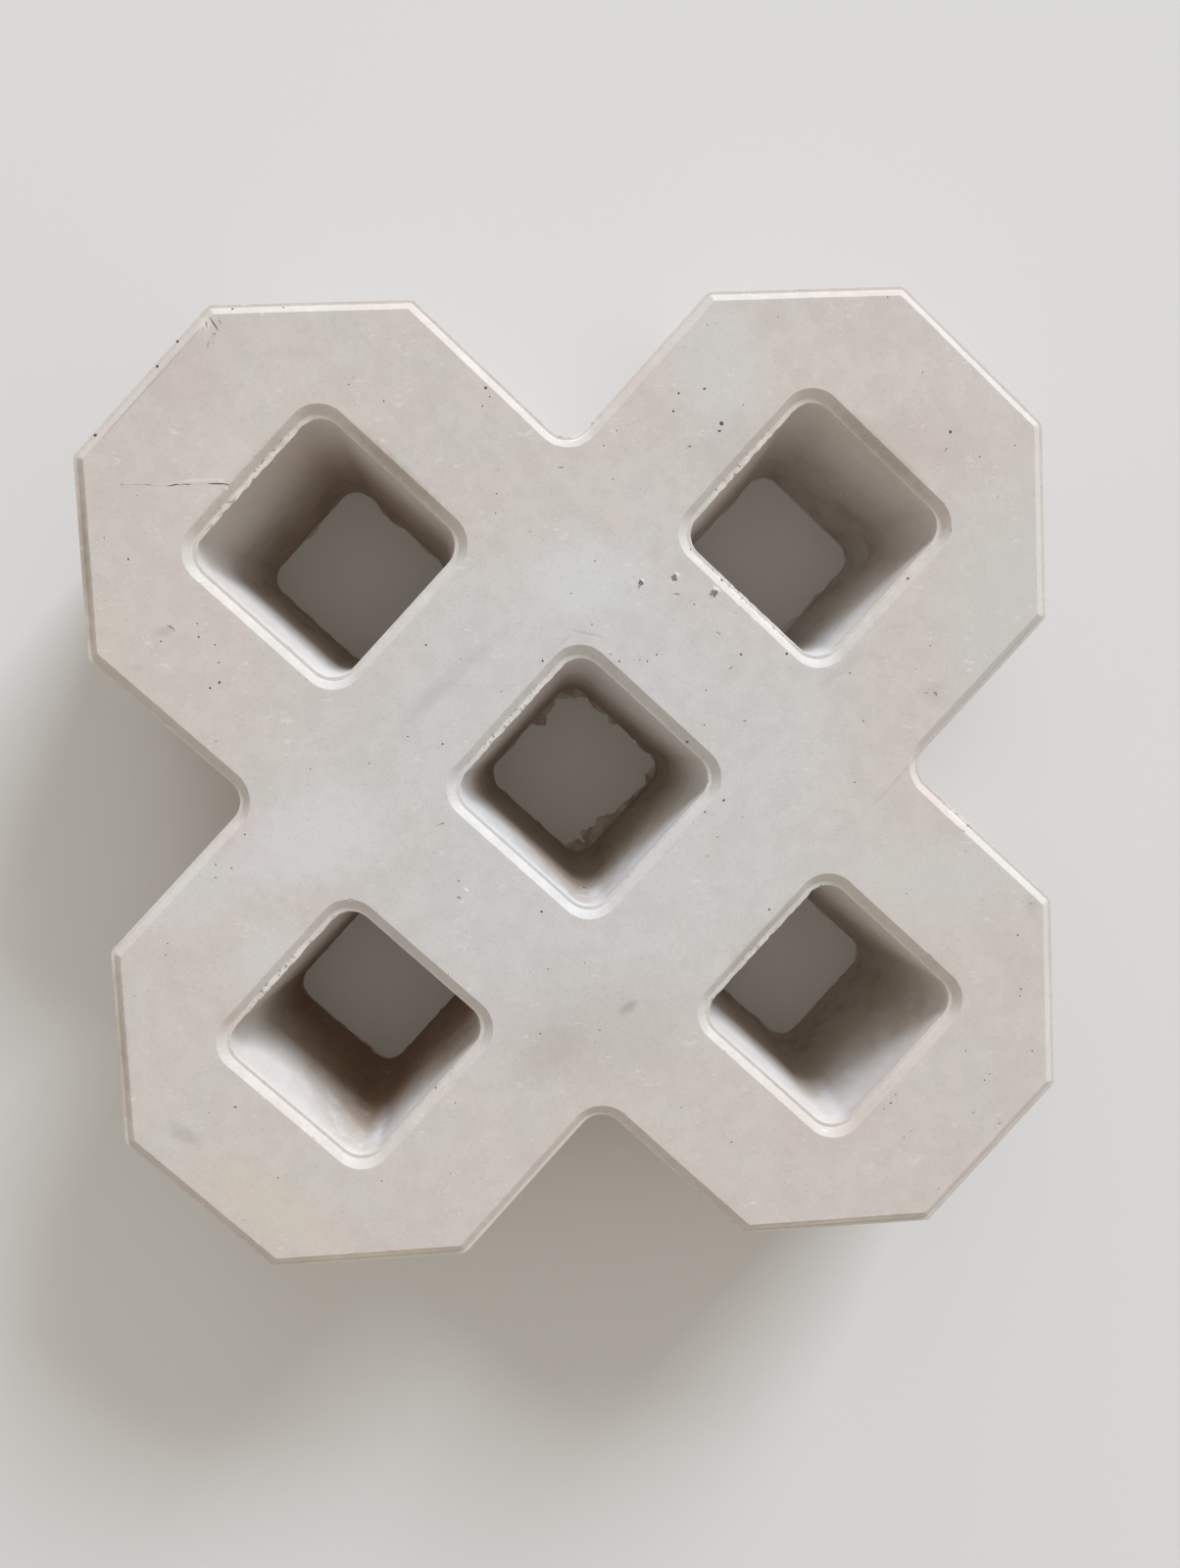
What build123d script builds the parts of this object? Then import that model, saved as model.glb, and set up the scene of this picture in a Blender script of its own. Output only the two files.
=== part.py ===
from build123d import *
import os

# Grass paver: one block of concrete, cast in a drafted mould with its top face down.
# Seen from above it is four octagonal lobes, two by two, run together into one slab. A V notch
# parts each pair of neighbouring lobes, and five square wells go right through the slab, turned by
# an eighth of a turn: one in the middle of each lobe and one in the middle of the block.
# Millimetres, +Z up. The origin is the middle of the underside, the face that the block lies on.

# The block
overall_width = 400.0        # across the underside, its widest part, along X and along Y
overall_height = 100.0       # from the underside to the top face
side_draft = 2.6             # lean of each outer side, from the underside in to the ledge
well_pitch = 200.0           # between the middles of neighbouring lobes, along X and along Y

# The outline of the underside
flat_length = 82.8           # each straight outer side of a lobe
notch_depth = 59.4           # from the outer sides to the sharp bottom of a V notch, before rounding
lobe_corner_radius = 3.5
notch_radius = 10.2          # the rounded bottom of a V notch

# The edge of the top face: a level ledge, then a bevel up to the face
ledge_width = 1.5
bevel_width = 3.0
bevel_height = 2.6
bevel_foot_corner_radius = 2.0
bevel_foot_notch_radius = 11.7
face_corner_radius = 1.0
face_notch_radius = 14.5

# The wells, measured across their flat sides
throat_width = 79.4          # where the wall of a well meets its ledge
bottom_width = 63.4          # at the underside
throat_corner_radius = 10.8
bottom_corner_radius = 9.9
bevel_foot_well_radius = 11.8
mouth_corner_radius = 13.6   # where the bevel of a well meets the top face
well_turn = 45.0             # degrees between the sides of a well and the outer sides

ledge_level = overall_height - bevel_height
bevel_foot_inset = side_draft + ledge_width
face_inset = bevel_foot_inset + bevel_width
bevel_foot_width = throat_width + 2 * ledge_width
mouth_width = bevel_foot_width + 2 * bevel_width

lobe_offset = well_pitch / 2
lobe_centres = [(x, y) for x in (-lobe_offset, lobe_offset) for y in (-lobe_offset, lobe_offset)]
well_centres = [(0, 0)] + lobe_centres


def outline_section(level, inset, corner_radius, notch_round):
    """Outline of the block at one level: that of the underside, moved in by the inset and rounded."""
    side = overall_width / 2
    notch_bottom = side - notch_depth
    flat_start = lobe_offset - flat_length / 2
    flat_end = lobe_offset + flat_length / 2
    with BuildSketch(Plane.XY.offset(level)) as section:
        with BuildLine():
            Polyline(
                (0, notch_bottom),
                (flat_start, side),
                (flat_end, side),
                (side, flat_end),
                (side, flat_start),
                (notch_bottom, 0),
            )
            mirror(about=Plane.YZ)
            mirror(about=Plane.XZ)
        make_face()
        if inset:
            offset(amount=-inset, kind=Kind.INTERSECTION, mode=Mode.REPLACE)
        # the four notch bottoms are the corners nearest to the middle
        fillet(section.vertices().sort_by_distance((0, 0, 0))[4:], corner_radius)
        fillet(section.vertices().sort_by_distance((0, 0, 0))[:4], notch_round)
    return section.sketch


def well_section(centre, level, width, corner_radius):
    """Rounded square across one well at one level."""
    with BuildSketch(Plane.XY.offset(level)) as section:
        with Locations(centre):
            RectangleRounded(width, width, corner_radius, rotation=well_turn)
    return section.sketch


with BuildPart() as paver_block:
    # drafted block, from the underside up to the ledge
    underside = outline_section(0, 0, lobe_corner_radius, notch_radius)
    ledge_edge = outline_section(ledge_level, side_draft, lobe_corner_radius, notch_radius)
    loft([underside, ledge_edge], ruled=True)

    # raised face with its bevelled edge, standing inside the ledge
    bevel_foot = outline_section(
        ledge_level, bevel_foot_inset, bevel_foot_corner_radius, bevel_foot_notch_radius
    )
    face_edge = outline_section(overall_height, face_inset, face_corner_radius, face_notch_radius)
    loft([bevel_foot, face_edge], ruled=True)

    # wells: a wall that narrows downwards, then a ledge and a bevelled mouth
    for centre in well_centres:
        bottom = well_section(centre, 0, bottom_width, bottom_corner_radius)
        throat = well_section(centre, ledge_level, throat_width, throat_corner_radius)
        loft([bottom, throat], ruled=True, mode=Mode.SUBTRACT)
        bevel_foot = well_section(centre, ledge_level, bevel_foot_width, bevel_foot_well_radius)
        mouth = well_section(centre, overall_height, mouth_width, mouth_corner_radius)
        loft([bevel_foot, mouth], ruled=True, mode=Mode.SUBTRACT)

paver_block.part.label = "paver_block"
os.makedirs("parts", exist_ok=True)
export_step(paver_block.part, "parts/paver_block.step")
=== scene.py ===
import math
import random

import bmesh
import bpy
import numpy as np
from mathutils import Matrix, Vector, noise
from mathutils.geometry import delaunay_2d_cdt


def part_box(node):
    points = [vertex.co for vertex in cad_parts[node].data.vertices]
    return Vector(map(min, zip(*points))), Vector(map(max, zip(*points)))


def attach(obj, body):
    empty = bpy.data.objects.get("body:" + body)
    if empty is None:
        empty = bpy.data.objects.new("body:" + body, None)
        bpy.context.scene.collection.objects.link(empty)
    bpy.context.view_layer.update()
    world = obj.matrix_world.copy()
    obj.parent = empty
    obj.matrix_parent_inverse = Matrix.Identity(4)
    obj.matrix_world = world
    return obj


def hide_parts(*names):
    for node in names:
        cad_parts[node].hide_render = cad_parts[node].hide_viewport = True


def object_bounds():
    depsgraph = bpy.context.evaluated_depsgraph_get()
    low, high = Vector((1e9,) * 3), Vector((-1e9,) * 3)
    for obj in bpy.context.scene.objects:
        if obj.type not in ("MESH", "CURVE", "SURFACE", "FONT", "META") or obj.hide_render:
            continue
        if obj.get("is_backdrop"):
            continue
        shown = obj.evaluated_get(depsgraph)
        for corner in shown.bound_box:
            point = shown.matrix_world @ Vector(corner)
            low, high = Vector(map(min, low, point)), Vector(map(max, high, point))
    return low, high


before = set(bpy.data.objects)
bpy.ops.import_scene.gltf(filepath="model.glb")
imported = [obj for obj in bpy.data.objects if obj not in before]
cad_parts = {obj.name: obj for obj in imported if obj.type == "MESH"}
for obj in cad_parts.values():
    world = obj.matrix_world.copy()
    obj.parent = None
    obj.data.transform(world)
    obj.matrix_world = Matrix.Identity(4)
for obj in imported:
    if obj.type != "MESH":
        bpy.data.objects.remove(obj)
cad_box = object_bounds()

# Grass paver: one block of concrete, cast with its top face down in a plastic mould.
# Lengths are millimetres, from the middle of the underside, until a mesh is made in metres.
MM = 0.001

# The block, taken from the frame
block_low, block_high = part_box("paver_block")
overall_width = (block_high.x - block_low.x) / MM
overall_height = (block_high.z - block_low.z) / MM

# The outline of the underside
well_pitch = 200.0
flat_length = 82.8
notch_depth = 59.4
side_draft = 2.6
lobe_offset = well_pitch / 2
lobe_near = lobe_offset - flat_length / 2
lobe_far = lobe_offset + flat_length / 2

# The edge of the top face: a level ledge, then a bevel
ledge_width = 1.5
bevel_width = 3.0
bevel_height = 2.6
ledge_level = overall_height - bevel_height
face_depth = ledge_width + bevel_width

# Corner radii at the wall, at the foot of the bevel and at the top face
lobe_corner_radii = (3.5, 2.0, 1.0)
notch_radii = (10.2, 11.7, 14.5)
throat_radii = (10.8, 11.8, 13.6)
bottom_radii = (9.9, 9.9, 9.9)

# The wells, across their flat sides
throat_width = 79.4
bottom_width = 63.4
well_turn = math.radians(45)
lobe_centres = [(x, y) for x in (-lobe_offset, lobe_offset) for y in (-lobe_offset, lobe_offset)]
well_centres = [(0.0, 0.0)] + lobe_centres

# How the mould leaves the edges: small rounds, and the rim of flat face kept beside each
underside_round = 0.6
ledge_round = 0.22
foot_round = 0.18
face_round = 0.35
rim_width = 1.7

# How finely the mesh follows the outline: steps in a straight side and in a corner
outline_side_steps = 68
lobe_corner_steps = 4
notch_steps = 16
well_side_steps = 50
well_corner_steps = 16
section_round_steps = 3

# Levels of the rings up a wall, and the levels between which a ring has every second point only
wall_levels = (1.2, 4, 20, 45, 68, 86, 95)
coarse_in_wells = (3, 85)
coarse_outside = (-1, 85)

# Points inside a flat face: their spacing, how far each is moved aside, and the gap beside the rim
face_grid = 6.0
grid_shift = 1.0
grid_seed = 11
fill_gap = 1.5
joining_distance = 1e-7


def wander(x, y, z, size, seed=0.0):
    """Smooth unevenness from -1 to 1 that turns over about every size millimetres."""
    return noise.noise(Vector((x / size + seed, y / size - seed, z / size + 2 * seed)))


def ripple(waves, x, y, z=0.0, rest=0.0):
    """Waves of unevenness on a value at rest. Each wave is (height, size, seed)."""
    total = rest
    for height, size, seed in waves:
        total += height * wander(x, y, z, size, seed)
    return total


# Paths with rounded corners

def corner_arc(before, corner, after, radius, steps):
    """Points of the round that replaces a corner, and the direction to the right of the path at each."""
    arrive = (corner - before) / np.linalg.norm(corner - before)
    leave = (after - corner) / np.linalg.norm(after - corner)
    turn = math.atan2(arrive[0] * leave[1] - arrive[1] * leave[0], arrive @ leave)
    left = np.array([-arrive[1], arrive[0]])
    side = math.copysign(1.0, turn)
    start = corner - arrive * radius * math.tan(abs(turn) / 2)
    centre = start + left * radius * side
    directions = []
    for step in range(steps + 1):
        angle = turn * step / steps
        cosine, sine = math.cos(angle), math.sin(angle)
        directions.append(np.array([-left[0] * cosine + left[1] * sine, -left[0] * sine - left[1] * cosine]))
    return [centre + direction * radius * side for direction in directions], directions


def rounded_ring(corners, radii, corner_steps, side_steps):
    """Points anticlockwise along a closed outline with rounded corners, and the direction out at each."""
    corners = [np.array(corner, float) for corner in corners]
    count = len(corners)
    arcs = []
    for i in range(count):
        after = corners[(i + 1) % count]
        arcs.append(corner_arc(corners[i - 1], corners[i], after, radii[i], corner_steps[i]))
    points, directions = [], []
    for i, (arc, arc_directions) in enumerate(arcs):
        following = arcs[(i + 1) % count][0][0]
        points += arc
        directions += arc_directions
        for step in range(1, side_steps):
            share = step / side_steps
            points.append(arc[-1] * (1 - share) + following * share)
            directions.append(arc_directions[-1])
    return np.array(points), np.array(directions)


def section_points():
    """The section of an edge: from the underside up the wall, over the ledge and bevel, onto the top face.
    Each point is (depth into the concrete from the wall, level)."""
    corners = [
        (rim_width, 0),
        (0, 0),
        (0, ledge_level),
        (ledge_width, ledge_level),
        (face_depth, overall_height),
        (face_depth + rim_width, overall_height),
    ]
    rounds = [underside_round, ledge_round, foot_round, face_round]
    corners = [np.array(corner, float) for corner in corners]
    points = [corners[0]]
    for i, radius in enumerate(rounds, start=1):
        arc = corner_arc(corners[i - 1], corners[i], corners[i + 1], radius, section_round_steps)[0]
        if tuple(corners[i]) == (0, ledge_level):
            points += [np.array([0.0, level]) for level in wall_levels]
        if i == len(rounds):
            # the middle of the bevel
            points.append((corners[i - 1] + corners[i]) / 2)
        points += arc
    points.append(corners[-1])
    return points


def radius_at(depth, radii):
    """Corner radius at that depth past the wall."""
    return float(np.interp(depth, (0, ledge_width, face_depth), radii))


def outline_corners(inset):
    """The twenty corners of the block's outline, anticlockwise, moved in by the inset."""
    half = overall_width / 2
    quarter = [(half, lobe_near), (half, lobe_far), (lobe_far, half), (lobe_near, half)]
    quarter.append((0, half - notch_depth))
    corners = []
    for turns in range(4):
        for x, y in quarter:
            for quarter_turn in range(turns):
                x, y = -y, x
            corners.append(np.array([x, y], float))
    moved = []
    for i, corner in enumerate(corners):
        arrive = corner - corners[i - 1]
        leave = corners[(i + 1) % len(corners)] - corner
        inward = []
        for side in (arrive, leave):
            inward.append(np.array([-side[1], side[0]]) / np.linalg.norm(side))
        moved.append(corner + inset * (inward[0] + inward[1]) / (1 + inward[0] @ inward[1]))
    return moved


def outline_ring(depth, level):
    """The block's outline at one point of its section."""
    inset = side_draft * min(level, ledge_level) / ledge_level + depth
    lobe_radius = radius_at(depth, lobe_corner_radii)
    notch_radius = radius_at(depth, notch_radii)
    radii = ([lobe_radius] * 4 + [notch_radius]) * 4
    steps = ([lobe_corner_steps] * 4 + [notch_steps]) * 4
    return rounded_ring(outline_corners(inset), radii, steps, outline_side_steps)


def well_ring(centre, depth, level):
    """One well's outline at one point of its section, with the directions pointing into the well."""
    rise = min(level, ledge_level) / ledge_level
    half = (bottom_width + (throat_width - bottom_width) * rise) / 2 + depth
    low_radius = radius_at(depth, bottom_radii)
    high_radius = radius_at(depth, throat_radii)
    radius = low_radius + (high_radius - low_radius) * rise
    corners = []
    for i in range(4):
        angle = well_turn + math.pi / 4 + i * math.pi / 2
        reach = half * math.sqrt(2)
        corners.append((centre[0] + reach * math.cos(angle), centre[1] + reach * math.sin(angle)))
    points, directions = rounded_ring(corners, [radius] * 4, [well_corner_steps] * 4, well_side_steps)
    return points, -directions


# The unevenness of the casting. A wave is (height, size, seed), and a pattern is (size, seed).

# Ripples that the mould's plastic left in the walls, and hollows that its floor left in the top face
wall_ripples = [(0.10, 38, 0.0), (0.035, 9, 4.2)]
face_hollows = [(0.10, 52, 0.0), (0.025, 15, 3.3)]

# Strokes and grit of the board on the underside: (height, size, seed, how the pattern is drawn out along x)
board_marks = [(0.22, 16, 1.9, 0.35), (0.10, 4.5, 6.1, 1.0)]

# How near to the two flat sides a point still follows their hollows, and the height at which that fades
face_follows = 0.35
underside_follows = 0.2
underside_fades = 0.4

# Flash that ran over the mould's cores, at the bottoms of the wells: (x, y, half length, reach)
flash_flakes = [
    (-17.5, 27.5, 4, 7.0), (-13, 32, 7, 3.8), (0, 40.5, 10, 5.4), (-30, 12, 6, 1.4),
    (13, 32, 7, 2.4), (20, 24, 3, 2.8), (35, 10, 5, 1.8),
    (-1, -40.5, 7, 7.4), (9, -36, 6, 9.4), (15, -30, 9, 7.2), (23, -22, 9, 3.4),
    (30, -15, 8, 2.2), (39, -5, 6, 4.4),
    (-84, 128, 9, 2.2), (-70, 110, 8, 1.6), (-122, 122, 5, 2.0), (-90, 60, 7, 1.2),
    (112, 66, 8, 2.8), (126, 78, 6, 1.6), (84, 128, 8, 1.4),
    (-86, -70, 7, 1.4), (-112, -136, 8, 1.2), (88, -134, 8, 1.2), (124, -78, 6, 1.4),
]
flash_top = 1.0
flake_bluntness = 2.5
flake_share = 0.85
flake_waves = [(0.22, 3.0, 1.3), (0.12, 1.4, 5.9)]

# The thin fringe of flash between the flakes
fringe_reach = 0.15
fringe_waves = [(0.9, 5.5, 3.1), (0.35, 2.2, 7.7)]

# Stretches where the edges came out of the mould rough: (x, y, reach along the edge)
rough_stretches = [
    (-128.5, 128.5, 34), (71.5, 71.5, 30), (71.5, 128.5, 26), (-28.5, 28.5, 28), (-128.5, -71.5, 24),
    (-162.0, -62.0, 20), (160.0, -20.0, 14), (72.0, -74.0, 14), (3.0, 146.0, 12),
]
usual_roughness = 0.15

# Nibbles out of the edge of the top face, and the share of a nibble by which the edge also sinks
face_edge_band = 0.9
face_nibbles = (2.6, 9.1)
face_nibble_bias = 0.15
least_nibble = 0.05
face_nibble_reach = 0.55
nibble_sink = 0.3

# Nibbles out of the edge between wall and ledge, and dips in it
ledge_edge_band = 1.2
ledge_nibbles = (2.1, 0.7)
ledge_waver = 0.04
ledge_nibble_reach = 0.65
ledge_dips = (3.3, 8.3)
ledge_dip_depth = 0.3

# Nibbles out of the edge between the outer wall and the underside
foot_nibbles = (3.4, 5.2)
foot_nibble_reach = 0.5

# The lip of flash on the ledge along the upper left side of every well
lip_reach = 0.9
lip_narrowness = 6
lip_share = 0.7
lip_waves = [(0.6, 2.8, 6.6)]


def edge_roughness(x, y):
    """From the usual roughness of an edge up to 1 in the middle of a rough stretch."""
    roughness = usual_roughness
    for rough_x, rough_y, reach in rough_stretches:
        away = math.hypot(x - rough_x, y - rough_y) / reach
        roughness = max(roughness, 1 - away ** 2)
    return roughness


def flash_reach(x, y):
    """How far the flash stands into a well at that place of its bottom edge."""
    fringe = 0.0
    for wave in fringe_waves:
        fringe += max(0.0, ripple([wave], x, y))
    reach = fringe_reach + fringe
    for flake_x, flake_y, half_length, flake_reach in flash_flakes:
        away = math.hypot(x - flake_x, y - flake_y) / half_length
        if away < 1:
            ragged = ripple(flake_waves, x, y, rest=flake_share)
            reach = max(reach, flake_reach * (1 - away ** flake_bluntness) * ragged)
    return reach


def uneven(point, direction, depth, level, in_well):
    """Moves one point of the mesh from the mould's true shape to where the concrete came out."""
    x, y = point
    z = level
    out = ripple(wall_ripples, x, y, z)
    near_face_edge = max(0.0, 1 - abs(depth - face_depth) / face_edge_band) if level > ledge_level else 0.0
    if near_face_edge:
        ragged = max(0.0, wander(x, y, 0, *face_nibbles) + face_nibble_bias)
        bite = near_face_edge * (least_nibble + edge_roughness(x, y) * face_nibble_reach * ragged)
        out -= bite
        z -= nibble_sink * bite
    near_ledge_edge = max(0.0, 1 - math.hypot(depth, level - ledge_level) / ledge_edge_band)
    if near_ledge_edge:
        rough = edge_roughness(x, y)
        ragged = wander(x, y, 0, *ledge_nibbles)
        out += near_ledge_edge * (ledge_waver * ragged - ledge_nibble_reach * rough * max(0.0, ragged))
        z -= near_ledge_edge * ledge_dip_depth * rough * max(0.0, wander(x, y, 0, *ledge_dips))
        if in_well:
            towards_lip = max(0.0, (direction[0] - direction[1]) / math.sqrt(2)) ** lip_narrowness
            out += near_ledge_edge * towards_lip * lip_reach * ripple(lip_waves, x, y, rest=lip_share)
    at_foot = level < flash_top and depth < underside_round
    if in_well and at_foot:
        out += flash_reach(x, y)
    if not in_well:
        # nothing may stand out beyond the mould's widest outline, at its foot
        out = min(out, 0.0) if level < ledge_level / 2 else out
        if at_foot:
            out -= foot_nibble_reach * max(0.0, wander(x, y, 0, *foot_nibbles))
    return x + direction[0] * out, y + direction[1] * out, z


def face_level(x, y):
    """The top face: flat, with the mould floor's slight hollows."""
    level = overall_height
    for depth, size, seed in face_hollows:
        level -= depth * (1 + wander(x, y, 0, size, seed))
    return level


def underside_level(x, y):
    """The underside was the open side of the mould, struck off with a board."""
    level = 0.0
    for height, size, seed, draw in board_marks:
        level += height * (1 + wander(x * draw, y, 0, size, seed))
    return level


# The casting's mesh

class Casting:
    """Points and faces of the block as they are laid down, ring by ring."""

    def __init__(self):
        self.points = []
        self.faces = []

    def ring(self, points, directions, depth, level, in_well, coarse):
        """Adds one ring of the section and returns its point numbers."""
        start = len(self.points)
        stride = 2 if coarse else 1
        for point, direction in zip(points[::stride], directions[::stride]):
            x, y, z = uneven(point, direction, depth, level, in_well)
            if level == overall_height or z > overall_height - face_follows:
                z -= overall_height - face_level(x, y)
            elif level == 0 or z < underside_follows:
                z += underside_level(x, y) * max(0.0, 1 - level / underside_fades)
            self.points.append((x, y, min(max(z, 0.0), overall_height)))
        return list(range(start, len(self.points)))

    def band(self, lower, upper, in_well):
        """Faces between two rings. Where one ring is coarser, each of its sides meets two of the other's."""
        count = max(len(lower), len(upper))
        low_step = count // len(lower)
        high_step = count // len(upper)
        shared = max(low_step, high_step)
        for i in range(0, count, shared):
            last = (i + shared) % count
            low = [lower[i // low_step], lower[last // low_step]]
            high = [upper[i // high_step], upper[last // high_step]]
            if low_step == high_step:
                faces = [[low[0], low[1], high[1], high[0]]]
            elif low_step > high_step:
                middle = upper[i // high_step + 1]
                faces = [[low[0], middle, high[0]], [low[0], low[1], middle], [low[1], high[1], middle]]
            else:
                middle = lower[i // low_step + 1]
                faces = [[low[0], middle, high[0]], [middle, high[1], high[0]], [middle, low[1], high[1]]]
            self.faces += [face[::-1] if in_well else face for face in faces]

    def edge(self, ring_at, in_well):
        """Adds a whole section along one outline and returns its first and last rings."""
        first, previous = None, None
        coarse_from, coarse_to = coarse_in_wells if in_well else coarse_outside
        for depth, level in section_points():
            coarse = coarse_from < level < coarse_to
            points, directions = ring_at(depth, level)
            current = self.ring(points, directions, depth, level, in_well, coarse)
            if previous is None:
                first = current
            else:
                self.band(previous, current, in_well)
            previous = current
        return first, previous

    def fill(self, rings, level_at, inset, well_half, upward):
        """Closes a flat face between its outer ring and the rings of the wells."""
        numbers = [number for ring in rings for number in ring]
        flat = [Vector(self.points[number][:2]) for number in numbers]
        sides = []
        start = 0
        for ring in rings:
            count = len(ring)
            sides += [(start + i, start + (i + 1) % count) for i in range(count)]
            start += count
        shuffle = random.Random(grid_seed)
        row = 0
        y = -overall_width / 2
        while y < overall_width / 2:
            x = -overall_width / 2 + (row % 2) * face_grid / 2
            while x < overall_width / 2:
                aside = [shuffle.uniform(-grid_shift, grid_shift) for axis in "xy"]
                place = (x + aside[0], y + aside[1])
                if in_concrete(place, inset, well_half):
                    flat.append(Vector(place))
                    numbers.append(len(self.points))
                    self.points.append((place[0], place[1], level_at(*place)))
                x += face_grid
            y += face_grid * math.sqrt(3) / 2
            row += 1
        laid, sources = delaunay_2d_cdt(flat, sides, [], 0, joining_distance)[2:4]
        number_of = [numbers[source[0]] for source in sources]
        triangles = [[number_of[i] for i in triangle] for triangle in laid]
        walls = {frozenset((numbers[a], numbers[b])) for a, b in sides}
        for triangle in spread(triangles, walls, numbers[-1]):
            self.faces.append(triangle if upward else triangle[::-1])


def spread(triangles, walls, seed):
    """The triangles that can be reached from the seed point without crossing a wall."""
    beside = {}
    for triangle in triangles:
        for side in zip(triangle, triangle[1:] + triangle[:1]):
            beside.setdefault(frozenset(side), []).append(triangle)
    waiting = [triangle for triangle in triangles if seed in triangle]
    reached = {tuple(triangle) for triangle in waiting}
    while waiting:
        triangle = waiting.pop()
        yield triangle
        for side in zip(triangle, triangle[1:] + triangle[:1]):
            if frozenset(side) in walls:
                continue
            for neighbour in beside[frozenset(side)]:
                if tuple(neighbour) not in reached:
                    reached.add(tuple(neighbour))
                    waiting.append(neighbour)


def in_concrete(place, inset, well_half):
    """True where a place is inside the outline by the inset, and outside the wells at that half width."""
    x, y = abs(place[0]), abs(place[1])
    half = overall_width / 2
    if max(x, y) > half - inset or x + y > half + lobe_far - inset * math.sqrt(2):
        return False
    low, high = sorted((x, y))
    slope = notch_depth / lobe_near
    if high > half - notch_depth + slope * low - inset * math.hypot(1, slope):
        return False
    for centre_x, centre_y in well_centres:
        if abs(place[0] - centre_x) + abs(place[1] - centre_y) < well_half * math.sqrt(2):
            return False
    return True


def cast_block():
    """The whole block, closed, as the mould left it."""
    casting = Casting()
    rings = [casting.edge(outline_ring, False)]
    for centre in well_centres:
        rings.append(casting.edge(lambda depth, level: well_ring(centre, depth, level), True))
    clear = rim_width + fill_gap
    face_inset = side_draft + face_depth + clear
    face_well_half = throat_width / 2 + face_depth + clear
    casting.fill([last for first, last in rings], face_level, face_inset, face_well_half, True)
    casting.fill([first for first, last in rings], underside_level, clear, bottom_width / 2 + clear, False)
    return casting


def new_mesh(name, points, faces, materials):
    """A linked object in metres from points in millimetres."""
    mesh = bpy.data.meshes.new(name)
    mesh.from_pydata([Vector(point) * MM for point in points], [], faces)
    mesh.validate()
    for material in materials:
        mesh.materials.append(material)
    piece = bpy.data.objects.new(name, mesh)
    bpy.context.scene.collection.objects.link(piece)
    return piece


# What is missing from the surface: air holes, pits, chips and a crack

# Air holes listed one by one on the top face: (x, y, width)
large_holes = [
    (62.5, 144, 2), (61.5, 141, 1.3), (56, 158, 1.3), (45.5, 156.5, 1.2), (43, 149.5, 1.1),
    (67, 50, 1.2), (-32.5, 161, 1.4), (-145.5, 48, 1.4), (-149.5, 46, 1.1), (157.5, 137.5, 1.5),
    (156, 131.5, 0.9), (149.5, 29.5, 1.1), (-20.5, -52.5, 1.3), (-151, -127, 1.2), (182.5, -97.5, 1),
    (181.5, -74, 1), (75, -57, 1.2), (-178, 98.5, 1), (-15, 51, 1.1), (-62, 59.5, 1),
    (-57.5, 19, 1), (32, 51.5, 1), (28, 49, 0.9), (124.5, -143.5, 1.1), (57.5, -10, 1.4),
    (49.5, -14.5, 1), (-31, 157.5, 0.8), (-152.5, 66.5, 0.9), (-167.5, 65.5, 0.9), (6, 65, 0.8),
    (16.5, 49.5, 0.9), (13, 52.5, 0.8), (25, 49.5, 0.7), (52, 36, 0.8),
]
small_hole_count = 95
small_hole_widths = (0.4, 0.8)

# Air holes on the ledges and bevels: (x, y, level, width)
edge_holes = [
    (-162, 174, 97.4, 1.5), (-153.5, 183.5, 97.4, 1.3), (-188, 148, 97.4, 1.6),
    (-131, 195, 97.9, 1.4), (-111, 195, 97.9, 1.2),
    (86, 49.5, 99.8, 1.5), (48, 94, 97.6, 1), (60.5, 81, 97.6, 1.2), (43.5, 15, 97.8, 1.4),
    (-68.5, -125, 97.4, 1.3), (138.5, 78.5, 98.7, 1.3),
]
outer_wall_hole_count = 150
outer_wall_hole_widths = (0.7, 4.0)
well_hole_count = 60
well_hole_widths = (0.5, 1.6)
wall_hole_levels = (8, 94)
wide_hole_rarity = 3

# The form of an air hole: its depth and how far its middle is sunk, as shares of its width, then how round
# and how rough the listed holes, the small holes and the holes in the walls are
hole_depth_share = 0.55
hole_sink = 0.2
large_hole_form = {"roundness": 0.85, "roughness": 0.35}
small_hole_form = {"roundness": 1.0, "roughness": 0.3}
wall_hole_roughness = 0.35

# Shallow, ragged pits with broken grain in them: (x, y, length, width, depth, turn in degrees)
pits = [
    (56.5, 75, 4.8, 3.4, 1.2, 40), (40.5, 82, 3.8, 2.8, 1.1, 80), (41, 75.5, 2.8, 1.4, 0.2, 5),
    (26.5, 80.5, 3.8, 2.4, 1.1, 60), (-138.5, 185, 1.3, 0.8, 0.25, 20),
    (-163, 70.5, 3.4, 1.5, 0.35, -50), (-160.5, 72.5, 2, 0.9, 0.2, -50),
    (-54.5, -45, 1.7, 1.4, 0.5, 0), (-54.5, -48, 2.3, 1.6, 0.6, 30),
    (148.5, 30, 2.2, 1.3, 0.35, -45), (146, 32.5, 2.6, 1.2, 0.3, -20),
    (150.5, 28.5, 1.5, 1, 0.3, 60), (144.5, 30.5, 1.4, 0.9, 0.25, 0), (-134.5, 126.5, 2.4, 1.3, 0.5, 20),
    (155, 130, 2.6, 0.9, 0.25, 50), (-60, -14, 3.4, 0.9, 0.3, 20), (49, 135, 2.6, 1.2, 0.25, 30),
    (67.5, 22.5, 2.2, 0.9, 0.2, -15), (65, 24, 1.7, 0.7, 0.2, 70), (62.5, 44.5, 2.4, 1, 0.2, 35),
    (58, 59, 2.2, 0.9, 0.2, -30), (-4, 128.5, 3, 0.7, 0.25, 5), (187.5, -61, 1.8, 1, 0.25, 10),
]
pit_roughness = 0.55

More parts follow.
